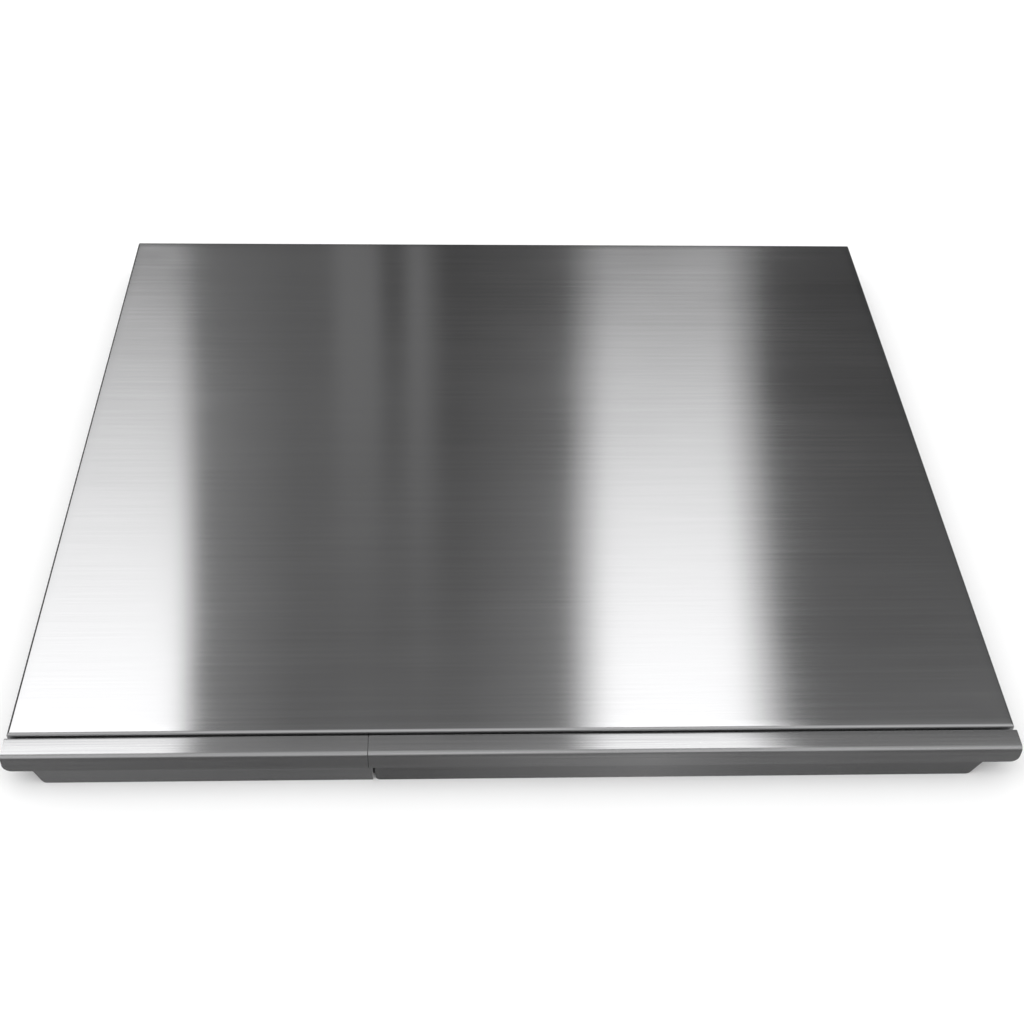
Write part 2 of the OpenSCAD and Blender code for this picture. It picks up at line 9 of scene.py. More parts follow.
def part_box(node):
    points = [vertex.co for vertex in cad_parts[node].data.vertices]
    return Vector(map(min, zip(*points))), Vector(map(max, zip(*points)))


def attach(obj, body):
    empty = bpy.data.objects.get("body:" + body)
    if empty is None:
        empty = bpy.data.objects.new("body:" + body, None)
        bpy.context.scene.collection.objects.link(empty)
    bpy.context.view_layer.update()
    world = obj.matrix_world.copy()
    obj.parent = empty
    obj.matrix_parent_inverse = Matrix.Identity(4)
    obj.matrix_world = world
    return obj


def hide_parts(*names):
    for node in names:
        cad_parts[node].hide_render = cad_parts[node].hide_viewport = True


# A low deck hatch in brushed stainless sheet on a pale studio floor. Metres, in the CAD's frame:
# X is the width, -Y the front, Z up from the deck.

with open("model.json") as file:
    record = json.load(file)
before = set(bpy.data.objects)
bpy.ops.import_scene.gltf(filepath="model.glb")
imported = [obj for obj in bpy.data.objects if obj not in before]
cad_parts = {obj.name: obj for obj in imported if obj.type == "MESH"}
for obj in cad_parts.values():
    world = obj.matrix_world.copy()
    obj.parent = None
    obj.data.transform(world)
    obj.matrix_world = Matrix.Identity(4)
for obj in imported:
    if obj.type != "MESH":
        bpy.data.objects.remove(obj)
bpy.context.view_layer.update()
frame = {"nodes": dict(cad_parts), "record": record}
MM = 0.001

# ---------- sizes ----------

# Thickness of the lid's sheet and of the trim's
SHEET = 1.2 * MM
TRIM = 1.5 * MM
# Radii of the folds and of the rounded corners
BEND = 2 * MM
SILL_BEND = 3 * MM
PAN_CORNER = 0.8 * MM
LIP_CORNER = 5 * MM
APRON_CORNER = 2.5 * MM
SLIT_CORNER = 3 * MM
# From the sill's top down to the lip's lower edge
LIP_DROP = 13 * MM
# How far each apron's outer end leans in towards its foot
LEFT_SLOPE = 5 * MM
RIGHT_SLOPE = 7 * MM
# Widths of the broken edges
SILL_BREAK = 0.08 * MM
APRON_BREAK = 0.15 * MM
SHEET_BREAK = 0.2 * MM
PLATE_BREAK = 0.3 * MM
# How far a weld's hidden root may reach into the lid's sheet
WELD_ROOT = 0.4 * MM
# Width and corner radius of the rubber seal
SEAL_WIDTH = 12 * MM
SEAL_CORNER = 8 * MM
# Radii of a lever's two round ends, and half its width between them
LEVER_HUB = 9 * MM
LEVER_KNOB = 7 * MM
LEVER_WAIST = 4.6 * MM
# Height of a hinge screw's head, and half the width of its slot
SCREW_HEAD = 2.4 * MM
SLOT_HALF = 0.55 * MM
# Base colour of the lid's sheet. Reflected levels are divided by it, so they state what the lid shows.
LID_TONE = 0.62

# Boxes of the CAD nodes that the pieces are built in
pan_lo, pan_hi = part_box("lid_skin")
sill_left_lo, sill_left_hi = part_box("sill_left")
sill_right_lo, sill_right_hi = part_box("sill_right")
seal_lo, seal_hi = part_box("coaming_seal")


# ---------- mesh helpers ----------

def new_object(name, data):
    """An object in the scene for a mesh, a light or a camera."""
    obj = bpy.data.objects.new(name, data)
    bpy.context.scene.collection.objects.link(obj)
    return obj


def new_piece(name, build, material, body, replaced=()):
    """A piece whose mesh build(bm) fills. It rides on a body and stands for the replaced CAD nodes."""
    bm = bmesh.new()
    build(bm)
    bmesh.ops.remove_doubles(bm, verts=bm.verts, dist=1e-6)
    bmesh.ops.recalc_face_normals(bm, faces=bm.faces)
    mesh = bpy.data.meshes.new(name)
    bm.to_mesh(mesh)
    bm.free()
    mesh.materials.append(material)
    mesh.polygons.foreach_set("use_smooth", [True] * len(mesh.polygons))
    mesh.set_sharp_from_angle(angle=math.radians(35))
    piece = new_object(name, mesh)
    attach(piece, body)
    if replaced:
        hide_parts(*replaced)
    return piece


def deburr(obj, width, angle=40):
    """Breaks the sharp edges by width, as a file or a tumbler does."""
    bevel = obj.modifiers.new("deburr", "BEVEL")
    bevel.width = width
    bevel.segments = 2
    bevel.limit_method = "ANGLE"
    bevel.angle_limit = math.radians(angle)
    bevel.harden_normals = True


def soften_cad(node, width):
    """Merges a CAD node's flat facets and breaks its edges, as modifiers on the untouched mesh."""
    obj = frame["nodes"][node]
    obj.modifiers.new("join", "WELD").merge_threshold = 2e-6
    flats = obj.modifiers.new("flats", "DECIMATE")
    flats.decimate_type = "DISSOLVE"
    flats.angle_limit = math.radians(0.5)
    deburr(obj, width, 38)


def loft(bm, rings, loop=False, caps=True):
    """Quads between rings of equal length, with the first and last ring capped or joined."""
    rows = [[bm.verts.new(point) for point in ring] for ring in rings]
    pairs = list(zip(rows, rows[1:]))
    if loop:
        pairs.append((rows[-1], rows[0]))
    for low, high in pairs:
        for i in range(len(low)):
            j = (i + 1) % len(low)
            bm.faces.new((low[i], low[j], high[j], high[i]))
    if caps and not loop:
        bm.faces.new(rows[0][::-1])
        bm.faces.new(rows[-1])


def place(at, axis):
    """Matrix that puts a piece made along +Z at a point, along an axis."""
    turn = Vector((0, 0, 1)).rotation_difference(Vector(axis)).to_matrix().to_4x4()
    return Matrix.Translation(at) @ turn


def turned(bm, outline, where, segments=32):
    """A closed turned shape from (height, radius) pairs along the axis of where."""
    rings = []
    for height, radius in outline:
        rings.append([
            where @ Vector((
                radius * math.cos(math.tau * i / segments),
                radius * math.sin(math.tau * i / segments),
                height,
            ))
            for i in range(segments)
        ])
    loft(bm, rings)


def thread(z0, z1, radius, pitch):
    """Outline of a threaded length with a chamfered start at z1."""
    depth = 0.3 * pitch
    turns = max(2, round(abs(z1 - z0) / pitch))
    step = (z1 - z0) / turns
    outline = []
    for i in range(turns):
        outline.append((z0 + (i + 0.1) * step, radius - depth))
        outline.append((z0 + (i + 0.4) * step, radius))
        outline.append((z0 + (i + 0.6) * step, radius))
        outline.append((z0 + (i + 0.9) * step, radius - depth))
    outline.append((z1, radius - 1.5 * depth))
    return outline


def hex_nut(bm, where, height, flats, bore):
    """A nut with both faces chamfered. flats is the distance across its flats."""
    segments = 72
    inset = flats / 2

    def ring(z, limit):
        points = []
        for i in range(segments):
            angle = math.tau * i / segments
            lean = (angle + math.pi / 6) % (math.pi / 3) - math.pi / 6
            radius = min(inset / math.cos(lean), limit)
            points.append(where @ Vector((radius * math.cos(angle), radius * math.sin(angle), z)))
        return points

    crown = inset * 0.97
    corner = inset * 2 / math.sqrt(3)
    drop = (corner - inset) * math.tan(math.radians(30))
    shares = [0, 0.25, 0.5, 0.75, 1]
    low = [ring(drop * share, crown + (corner - crown) * share) for share in shares]
    high = [ring(height - drop * share, crown + (corner - crown) * share) for share in reversed(shares)]
    bevel = 0.25 * MM
    hole = [ring(height, bore + bevel), ring(height - bevel, bore), ring(bevel, bore), ring(0, bore + bevel)]
    loft(bm, low + high + hole, loop=True)


def solids_of(node):
    """Boxes of the separate solids in a CAD node, in a fixed order."""
    bm = bmesh.new()
    bm.from_mesh(frame["nodes"][node].data)
    bmesh.ops.remove_doubles(bm, verts=bm.verts, dist=2e-6)
    left = set(bm.verts)
    boxes = []
    while left:
        start = left.pop()
        island, edge = [start], [start]
        while edge:
            for link in edge.pop().link_edges:
                for vert in link.verts:
                    if vert in left:
                        left.remove(vert)
                        island.append(vert)
                        edge.append(vert)
        lo = Vector([min(v.co[k] for v in island) for k in range(3)])
        hi = Vector([max(v.co[k] for v in island) for k in range(3)])
        boxes.append((lo, hi))
    bm.free()
    return sorted(boxes, key=lambda box: [round(c, 5) for c in box[0]])


# ---------- materials ----------

def add(tree, kind, inputs=None, **settings):
    """A node with its settings, and its inputs set to values or linked to sockets."""
    made = tree.nodes.new(kind)
    for key, value in settings.items():
        setattr(made, key, value)
    for key, value in (inputs or {}).items():
        if isinstance(value, bpy.types.NodeSocket):
            tree.links.new(value, made.inputs[key])
        else:
            made.inputs[key].default_value = value
    return made


def stretched(tree, scales, detail=3):
    """Noise with its own scale, per metre, along each axis."""
    coords = add(tree, "ShaderNodeTexCoord").outputs["Object"]
    mapped = add(tree, "ShaderNodeMapping", {"Vector": coords, "Scale": scales}).outputs[0]
    return add(tree, "ShaderNodeTexNoise", {"Vector": mapped, "Scale": 1, "Detail": detail}).outputs["Fac"]


def span(tree, value, low, high, start=0.3, end=0.7):
    """Maps start..end of a value to low..high."""
    inputs = {"Value": value, "From Min": start, "From Max": end, "To Min": low, "To Max": high}
    return add(tree, "ShaderNodeMapRange", inputs).outputs[0]


def maths(tree, operation, first, second):
    return add(tree, "ShaderNodeMath", {0: first, 1: second}, operation=operation).outputs[0]


def raised(tree, value, mask, amount):
    """A value raised by amount where the mask is 1."""
    return maths(tree, "ADD", value, maths(tree, "MULTIPLY", mask, amount))


def edge_mask(tree, radius):
    """1 along convex edges, where handling polishes the surface, and 0 elsewhere."""
    soft = add(tree, "ShaderNodeBevel", {"Radius": radius}, samples=3).outputs[0]
    flat = add(tree, "ShaderNodeNewGeometry").outputs["Normal"]
    same = add(tree, "ShaderNodeVectorMath", {0: soft, 1: flat}, operation="DOT_PRODUCT")
    return span(tree, same.outputs["Value"], 0, 1, 0.99, 0.8)


def blank_material(name):
    material = bpy.data.materials.new(name)
    material.use_nodes = True
    material.node_tree.nodes.clear()
    return material, material.node_tree


def start_material(name, metallic, specular=0.5):
    material, tree = blank_material(name)
    shader = add(tree, "ShaderNodeBsdfPrincipled", {"Metallic": metallic, "Specular IOR Level": specular})
    add(tree, "ShaderNodeOutputMaterial", {0: shader.outputs[0]})
    return material, tree, shader


def set_look(tree, shader, colour, roughness):
    tree.links.new(colour, shader.inputs["Base Color"])
    tree.links.new(roughness, shader.inputs["Roughness"])


def tint(tree, level, colour):
    """A colour multiplied by a level."""
    scaled = add(tree, "ShaderNodeVectorMath", {0: colour, "Scale": level}, operation="SCALE")
    return scaled.outputs[0]


def bump(tree, shader, height, distance, strength=1.0):
    made = add(tree, "ShaderNodeBump", {"Height": height, "Distance": distance, "Strength": strength})
    tree.links.new(made.outputs[0], shader.inputs["Normal"])


def world_axis(tree, axis):
    """One of the object's own axes, as a direction in the world."""
    return add(tree, "ShaderNodeVectorTransform", {0: axis}, vector_type="VECTOR",
               convert_from="OBJECT", convert_to="WORLD").outputs[0]


def grain_tangent(tree, shader):
    """Grain along the width, and along the depth on faces that look sideways."""
    facing = add(tree, "ShaderNodeSeparateXYZ", {0: add(tree, "ShaderNodeNewGeometry").outputs["Normal"]})
    across = add(tree, "ShaderNodeMath", {0: facing.outputs["X"]}, operation="ABSOLUTE").outputs[0]
    sideways = maths(tree, "GREATER_THAN", across, 0.8)
    ends = {0: sideways, 4: world_axis(tree, (1, 0, 0)), 5: world_axis(tree, (0, 1, 0))}
    mixed = add(tree, "ShaderNodeMix", ends, data_type="VECTOR")
    tree.links.new(mixed.outputs[1], shader.inputs["Tangent"])


def brushed_steel(name, tone, rough, streaks, specks=0.0, metallic=1.0):
    """Sheet with a fine brushed grain along the width, faint streaks and smudges, and worn edges."""
    material, tree, shader = start_material(name, metallic)
    shader.inputs["Anisotropic"].default_value = 1.0
    shader.inputs["Anisotropic Rotation"].default_value = 0.25
    grain_tangent(tree, shader)
    fine = stretched(tree, (9, 2600, 2600), 4)
    streak = stretched(tree, (5, 420, 420), 3)
    smudge = stretched(tree, (7, 11, 11), 2)
    level = maths(tree, "MULTIPLY", span(tree, fine, 1 - streaks, 1 + streaks),
                  span(tree, streak, 1 - 0.6 * streaks, 1 + 0.6 * streaks))
    level = maths(tree, "MULTIPLY", level, span(tree, smudge, 0.975, 1.02))
    worn = edge_mask(tree, 0.8 * MM)
    level = raised(tree, level, worn, 0.12)
    if specks:
        dots = stretched(tree, (900, 900, 900), 1)
        level = maths(tree, "ADD", level, span(tree, dots, 0, specks, 0.74, 0.8))
    roughness = maths(tree, "ADD", span(tree, streak, rough * 0.93, rough * 1.07),
                      span(tree, smudge, -0.01, 0.015))
    colour = tint(tree, level, (tone, tone, tone * 1.01))
    set_look(tree, shader, colour, raised(tree, roughness, worn, -0.04))
    bump(tree, shader, fine, 0.004 * MM, 0.5)
    return material


def mill_steel(name, tone, rough):
    """Dull sheet and plate as rolled, with cloudy patches, rolling marks and rubbed edges."""
    material, tree, shader = start_material(name, 0.84)
    shader.inputs["Anisotropic"].default_value = 0.35
    grain_tangent(tree, shader)
    cloud = stretched(tree, (24, 24, 24), 5)
    roll = stretched(tree, (16, 1100, 900), 3)
    grit = stretched(tree, (1900, 1900, 1900), 2)
    worn = edge_mask(tree, 0.7 * MM)
    level = maths(tree, "MULTIPLY", span(tree, cloud, 0.93, 1.05), span(tree, roll, 0.94, 1.06))
    colour = tint(tree, raised(tree, level, worn, 0.2), (tone, tone * 1.005, tone * 1.02))
    roughness = maths(tree, "ADD", span(tree, cloud, rough * 1.15, rough * 0.85),
                      span(tree, roll, -0.03, 0.03))
    set_look(tree, shader, colour, raised(tree, roughness, worn, -0.1))
    bump(tree, shader, maths(tree, "ADD", grit, roll), 0.006 * MM, 0.3)
    return material


def bright_steel(name, tone, rough):
    """Turned and rolled fixings: bright flanks, tool marks and small dull spots."""
    material, tree, shader = start_material(name, 0.88)
    marks = stretched(tree, (2400, 2400, 2400), 3)
    spots = stretched(tree, (260, 260, 260), 3)
    worn = edge_mask(tree, 0.35 * MM)
    level = maths(tree, "MULTIPLY", span(tree, marks, 0.95, 1.04), span(tree, spots, 0.88, 1.05))
    colour = tint(tree, raised(tree, level, worn, 0.1), (tone, tone, tone * 1.02))
    set_look(tree, shader, colour, span(tree, spots, rough * 1.4, rough * 0.8))
    bump(tree, shader, marks, 0.004 * MM, 0.4)
    return material


def weld_steel(name):
    """Weld metal: silvery crown with a straw and blue tint where it cooled slowly."""
    material, tree, shader = start_material(name, 0.75)
    heat = stretched(tree, (70, 70, 70), 3)
    scale = stretched(tree, (1400, 1400, 1400), 3)
    ramp = add(tree, "ShaderNodeValToRGB", {"Fac": heat})
    ramp.color_ramp.elements[0].position = 0.35
    ramp.color_ramp.elements[0].color = (0.66, 0.65, 0.64, 1)
    ramp.color_ramp.elements[1].position = 0.68
    ramp.color_ramp.elements[1].color = (0.52, 0.54, 0.58, 1)
    straw = ramp.color_ramp.elements.new(0.52)
    straw.color = (0.64, 0.59, 0.51, 1)
    colour = tint(tree, span(tree, scale, 0.8, 1.1), ramp.outputs["Color"])
    set_look(tree, shader, colour, span(tree, scale, 0.3, 0.5))
    bump(tree, shader, scale, 0.02 * MM, 0.7)
    return material


def moulded(name, colour, rough, grit_scale, depth, dust=0.1, specular=0.5):
    """Rubber or plastic with a moulded grain, paler dusty patches and edges rubbed smooth."""
    material, tree, shader = start_material(name, 0.0, specular)
    grit = stretched(tree, (grit_scale, grit_scale, grit_scale), 3)
    patch = stretched(tree, (38, 38, 38), 4)
    worn = edge_mask(tree, 0.8 * MM)
    level = maths(tree, "MULTIPLY", span(tree, grit, 0.9, 1.1), span(tree, patch, 1 - dust, 1 + 1.5 * dust))
    level = raised(tree, level, worn, 0.25)
    roughness = maths(tree, "ADD", span(tree, patch, rough * 0.9, rough * 1.1),
                      span(tree, grit, -0.05, 0.05))
    set_look(tree, shader, tint(tree, level, colour), raised(tree, roughness, worn, -0.12))
    bump(tree, shader, grit, depth, 0.8)
    return material


lid_finish = brushed_steel("brushed_lid_sheet", LID_TONE, rough=0.155, streaks=0.03)
trim_finish = brushed_steel("brushed_trim_sheet", 0.5, rough=0.145, streaks=0.1, specks=0.35, metallic=0.88)
# The two aprons are one and the same sheet. The left one has a lighter tone (painted light) and the right
# one a darker tone (painted shade), so each shows as bright as it looked lit.
apron_finish_painted_lighter = brushed_steel("brushed_apron_left_painted_light", 0.62, rough=0.15, streaks=0.05, metallic=0.88)
apron_finish_painted_darker = brushed_steel("brushed_apron_right_painted_shade", 0.42, rough=0.15, streaks=0.05, metallic=0.88)
mill_finish = mill_steel("mill_steel_sheet", 0.6, rough=0.33)
plate_finish = mill_steel("mill_steel_plate", 0.64, rough=0.29)
fixing_finish = bright_steel("bright_fixing_steel", 0.70, rough=0.2)
weld_finish = weld_steel("weld_metal")
rubber_finish = moulded("seal_rubber_black", (0.022, 0.022, 0.023), rough=0.62, grit_scale=1500,
                        depth=0.03 * MM, dust=0.2, specular=0.3)
nylon_finish = moulded("lever_nylon_black", (0.03, 0.03, 0.032), rough=0.45, grit_scale=1100,
                       depth=0.04 * MM, dust=0.12)
acetal_finish = moulded("bush_acetal_white", (0.72, 0.70, 0.64), rough=0.38, grit_scale=900,
                        depth=0.015 * MM, dust=0.05)

FINISH_OF_SLOT = {
    "brushed_steel_trim": trim_finish,
    "coaming_steel": mill_finish,
    "fixing_steel": fixing_finish,
    "seal_rubber": rubber_finish,
    "lever_nylon": nylon_finish,
    "bush_acetal": acetal_finish,
}
SHEET_NODES = [
    "front_rail", "rear_rail", "left_rail", "right_rail", "corner_gussets", "gutter_tray", "seam_plate",
    "sill_brackets", "front_stiffener", "rear_stiffener", "rib_left", "rib_centre", "rib_right",
    "dog_washer_left", "dog_washer_right",
]
PLATE_NODES = [
    "hinge_bracket_left", "hinge_bracket_right", "lid_arm_left", "lid_arm_right", "dog_keepers",
    "dog_boss_left", "dog_boss_right", "dog_tongue_left", "dog_tongue_right",
]
TURNED_NODES = [
    "hinge_pin_left", "hinge_pin_right", "hinge_bushes", "friction_washers", "dog_shaft_left",
    "dog_shaft_right",
]


def finish_cad_nodes():
    for part in frame["record"]["subparts"]:
        node = part["node"]
        finish = plate_finish if node in PLATE_NODES else FINISH_OF_SLOT[part["material_slot"]]
        materials = frame["nodes"][node].data.materials
        materials.clear()
        materials.append(finish)


# ---------- lid ----------

def sag(x, y):
    """How far the lid's sheet lies below flat.

    It has faint pillows that fade towards its bends, and a shallow dimple inside each corner.
    """
    margin = 45 * MM
    dimple_inset, dimple_radius = 13 * MM, 11 * MM
    from_side = min(x - pan_lo.x, pan_hi.x - x)
    from_end = min(y - pan_lo.y, pan_hi.y - y)
    hold = max(0.0, min(1.0, min(from_side, from_end) / margin))
    hold = hold * hold * (3 - 2 * hold)
    wave = noise.noise(Vector((x * 5.5 + 3.1, y * 4.2, 0.4)))
    ripple = noise.noise(Vector((x * 13, y * 9 + 5.2, 2.2)))
    pull = math.hypot(from_side - dimple_inset, from_end - dimple_inset) / dimple_radius
    dimple = 0.07 * max(0.0, 1 - pull * pull) ** 2
    return (hold * (0.10 + 0.10 * wave + 0.016 * ripple) + dimple) * MM


def pan_ring(inset, z, corner, counts):
    """Points round the pan at an inset from its faces. Any two rings have matching points."""
    x0, x1 = pan_lo.x + inset, pan_hi.x - inset
    y0, y1 = pan_lo.y + inset, pan_hi.y - inset
    across, along, bend = counts
    centres = [
        (x1 - corner, y1 - corner, 0), (x0 + corner, y1 - corner, 90),
        (x0 + corner, y0 + corner, 180), (x1 - corner, y0 + corner, 270),
    ]
    points = []
    for k, (cx, cy, start) in enumerate(centres):
        for i in range(bend + 1):
            angle = math.radians(start + 90 * i / bend)
            points.append(Vector((cx + corner * math.cos(angle), cy + corner * math.sin(angle), z)))
        nx, ny, following = centres[(k + 1) % 4]
        turn = math.radians(following)
        here = points[-1]
        there = Vector((nx + corner * math.cos(turn), ny + corner * math.sin(turn), z))
        steps = across if k % 2 == 0 else along
        for i in range(1, steps):
            points.append(here.lerp(there, i / steps))
    return points


def in_the_pan(face):
    """True for a face of the pan's underside, which keeps the sheet's mill finish."""
    depth = min(face.center.x - pan_lo.x, pan_hi.x - face.center.x,
                face.center.y - pan_lo.y, pan_hi.y - face.center.y)
    return face.normal.z < 0.3 and (face.normal.z < -0.3 or depth > 0.7 * SHEET)


def build_pan(bm):
    counts = (120, 104, 4)
    bend_steps = 7
    rim = 0.2 * MM
    tightest = 0.1 * MM

    def shell(offset, radius):
        """Rings down the bend between the top and the skirt, at a depth into the sheet."""
        rings = []
        for i in range(bend_steps + 1):
            angle = math.radians(90 * i / bend_steps)
            inset = offset + radius * (1 - math.sin(angle))
            height = pan_hi.z - offset - radius * (1 - math.cos(angle))
            corner = max(PAN_CORNER - offset, tightest) * math.sin(angle)
            rings.append(pan_ring(inset, height, corner, counts))
        return rings

    def flat(offset, radius):
        """A grid that fills the top inside the bends, at a depth into the sheet."""
        across, along = counts[:2]
        inset = offset + radius
        x0, x1 = pan_hi.x - inset, pan_lo.x + inset
        y0, y1 = pan_hi.y - inset, pan_lo.y + inset
        rows = []
        for j in range(along + 1):
            y = y0 + (y1 - y0) * j / along
            rows.append([bm.verts.new((x0 + (x1 - x0) * i / across, y, pan_hi.z - offset))
                         for i in range(across + 1)])
        for j in range(along):
            for i in range(across):
                bm.faces.new((rows[j][i], rows[j][i + 1], rows[j + 1][i + 1], rows[j + 1][i]))

    outside = shell(0, BEND)
    inside = shell(SHEET, BEND - SHEET)
    edge = [
        pan_ring(0, pan_lo.z + rim, PAN_CORNER, counts),
        pan_ring(rim, pan_lo.z, PAN_CORNER - rim, counts),
        pan_ring(SHEET - rim, pan_lo.z, 2 * tightest, counts),
        pan_ring(SHEET, pan_lo.z + rim, tightest, counts),
    ]
    loft(bm, outside + edge + inside[::-1], caps=False)
    flat(0, BEND)
    flat(SHEET, BEND - SHEET)
    lowest = pan_hi.z - SHEET - 0.01 * MM
    for vert in bm.verts:
        if vert.co.z > lowest:
            vert.co.z -= sag(vert.co.x, vert.co.y)


# ---------- sill and aprons ----------

def stations(x0, x1, left_corner, right_corner, step=9 * MM, corner_steps=8):
    """Places along X, close together where an end has a rounded corner."""
    shares = [1 - math.cos(math.radians(90 * i / corner_steps)) for i in range(corner_steps + 1)]
    low, high = x0 + left_corner, x1 - right_corner
    middle = max(1, round((x1 - x0) / step))
    places = [x0 + left_corner * share for share in shares]
    places += [low + (high - low) * i / middle for i in range(1, middle)]
    places += [x1 - right_corner * share for share in reversed(shares)]
    kept = [places[0]]
    for x in places[1:]:
        if x - kept[-1] > 0.02 * MM:
            kept.append(x)
    return kept


def arc(cy, cz, radius, start, end, steps=6):
    """Points of an arc in the YZ plane, angles in degrees from +Y."""
    points = []
    for i in range(steps + 1):
        angle = math.radians(start + (end - start) * i / steps)
        points.append((cy + radius * math.cos(angle), cz + radius * math.sin(angle)))
    return points


def sill_section(lo, hi, lip_bottom):
    """Outline of the folded sill: up the lip, over the top and down the rear leg, and back inside."""
    front, back, top, leg = lo.y, hi.y, hi.z, lo.z
    outline = [(front, lip_bottom)]
    outline += arc(front + SILL_BEND, top - SILL_BEND, SILL_BEND, 180, 90, 9)
    outline += arc(back - BEND, top - BEND, BEND, 90, 0)
    outline += [(back, leg), (back - TRIM, leg)]
    outline += arc(back - BEND, top - BEND, BEND - TRIM, 0, 90)
    outline += arc(front + SILL_BEND, top - SILL_BEND, SILL_BEND - TRIM, 90, 180)
    outline += [(front + TRIM, lip_bottom)]
    return outline


def build_sill(lo, hi, free_left):
    """One length of the sill. Its free end has a rounded lower corner, and its other end is the joint."""
    lip_z = hi.z - LIP_DROP
    left, right = (LIP_CORNER, 0) if free_left else (0, LIP_CORNER)

    def build(bm):
        rings = []
        for x in stations(lo.x, hi.x, left, right):
            depth = max(0, LIP_CORNER - (x - lo.x if free_left else hi.x - x))
            rise = LIP_CORNER - math.sqrt(LIP_CORNER ** 2 - min(depth, LIP_CORNER) ** 2)
            wave = 0.05 * MM * noise.noise(Vector((x * 21, 0.7, 3.3)))
            dip = 0.03 * MM * (1 + noise.noise(Vector((x * 11, 4.1, 0.2))))
            rings.append([
                Vector((x, y + abs(wave) * (z < hi.z - BEND), z - dip * (z > hi.z - BEND)))
                for y, z in sill_section(lo, hi, lip_z + rise)
            ])
        loft(bm, rings)

    return build


def build_apron(node, outer_left, slope, inner_corner):
    """A sheet with one sloping outer end. slope is how far that end leans in from the lip to the foot."""
    lo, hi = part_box(node)
    lip_z = sill_left_hi.z - LIP_DROP
    lean = math.atan(slope / lip_z)
    tangent = APRON_CORNER * math.tan(math.pi / 4 - lean / 2)
    rows = 7

    def bottom(outer, inner):
        """Height of the lower edge, from the distances to the outer and the inner end."""
        height = 0.0
        if outer < slope - math.sin(lean) * tangent:
            height = lip_z * (1 - outer / slope)
        elif outer < slope + tangent:
            height = APRON_CORNER - math.sqrt(APRON_CORNER ** 2 - (slope + tangent - outer) ** 2)
        if inner < inner_corner:
            height = inner_corner - math.sqrt(inner_corner ** 2 - (inner_corner - inner) ** 2)
        return lo.z + height

    def build(bm):
        outer_zone = slope + tangent
        ends = (outer_zone, inner_corner) if outer_left else (inner_corner, outer_zone)
        rings = []
        for x in stations(lo.x, hi.x, *ends):
            to_left, to_right = x - lo.x, hi.x - x
            low = bottom(to_left, to_right) if outer_left else bottom(to_right, to_left)
            bow = 0.06 * MM * (1 + noise.noise(Vector((x * 12, 8.3, 1.1))))
            front = [Vector((x, lo.y + bow * math.sin(math.pi * k / rows), low + (hi.z - low) * k / rows))
                     for k in range(rows + 1)]
            back = [Vector((x, hi.y, point.z)) for point in front[::-1]]
            rings.append(front + back)
        loft(bm, rings)

    return build


def build_painted_shade_mastic(bm):
    """Black mastic in the sill's butt joint, which makes the seam a dark line as painted shade, and a black
    bead of it behind the slit's upper half, painted shade where the slit only shows shadow.
    """
    sunk = 0.4 * MM
    lo = sill_left_lo + Vector((0, sunk, 0))
    hi = sill_left_hi - Vector((0, sunk, sunk))
    section = sill_section(lo, hi, sill_left_hi.z - LIP_DROP)
    loft(bm, [[Vector((x, y, z)) for y, z in section] for x in (sill_left_hi.x, sill_right_lo.x)])

    # The bead behind the slit is a black piece put where there is only shadow: painted shade.
    left_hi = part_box("apron_left")[1]
    right_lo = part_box("apron_right")[0]
    radius = 1.6 * MM
    foot, head = right_lo.z + 3.2 * MM, left_hi.z - 1 * MM
    bead = [(foot + radius * (1 - math.cos(angle)), radius * math.sin(angle))
            for angle in [math.radians(degrees) for degrees in (8, 35, 65, 90)]]
    bead += [(head, radius)]
    at = ((left_hi.x + right_lo.x) / 2, left_hi.y + radius, 0)
    turned(bm, bead, Matrix.Translation(at), 20)


# ---------- seal ----------

def build_seal(bm):
    """Extruded profile with a low bulb between two lips, carried round the coaming."""
    height = seal_hi.z - seal_lo.z
    half = SEAL_WIDTH / 2
    lip = [(half, 0), (half, 0.35 * height), (half - 0.5 * MM, 0.62 * height),
           (half - 1.2 * MM, 0.62 * height), (half - 1.7 * MM, 0.36 * height)]
    bulb = half - 2.2 * MM
    section = lip + [
        (bulb * math.cos(math.radians(a)), (0.36 + 0.64 * math.sin(math.radians(a))) * height)
        for a in range(0, 181, 15)
    ]
    section += [(-across, up) for across, up in reversed(lip)]
    x0, x1 = seal_lo.x + half + SEAL_CORNER, seal_hi.x - half - SEAL_CORNER
    y0, y1 = seal_lo.y + half + SEAL_CORNER, seal_hi.y - half - SEAL_CORNER
    rings = []
    for cx, cy, start in ((x1, y1, 0), (x0, y1, 90), (x0, y0, 180), (x1, y0, 270)):
        for i in range(9):
            angle = math.radians(start + 90 * i / 8)
            out = Vector((math.cos(angle), math.sin(angle), 0))
            centre = Vector((cx, cy, seal_lo.z)) + out * SEAL_CORNER
            rings.append([centre + out * across + Vector((0, 0, up)) for across, up in section])
    loft(bm, rings, loop=True)


# ---------- levers ----------

def lever_outline(shaft_x, shaft_y, end_x, inset, steps=14):
    """Outline of a hand lever with a round hub and a round end, drawn in by inset."""
    side = math.copysign(1, end_x - shaft_x)
    knob_x = end_x - side * LEVER_KNOB
    shares = [i / 10 for i in range(1, 10)]

    def round_end(centre_x, radius, start):
        angles = [math.radians(start + 200 * i / steps) for i in range(steps + 1)]
        return [(centre_x + side * radius * math.cos(angle), shaft_y + radius * math.sin(angle))
                for angle in angles]

    def waist(share, sign):
        half = LEVER_WAIST - inset + 0.8 * MM * (2 * share - 1) ** 2
        return shaft_x + (knob_x - shaft_x) * share, shaft_y + sign * half

    points = round_end(shaft_x, LEVER_HUB - inset, 80)
    points += [waist(share, -1) for share in shares]
    points += round_end(knob_x, LEVER_KNOB - inset, -100)
    points += [waist(share, 1) for share in reversed(shares)]
    return points


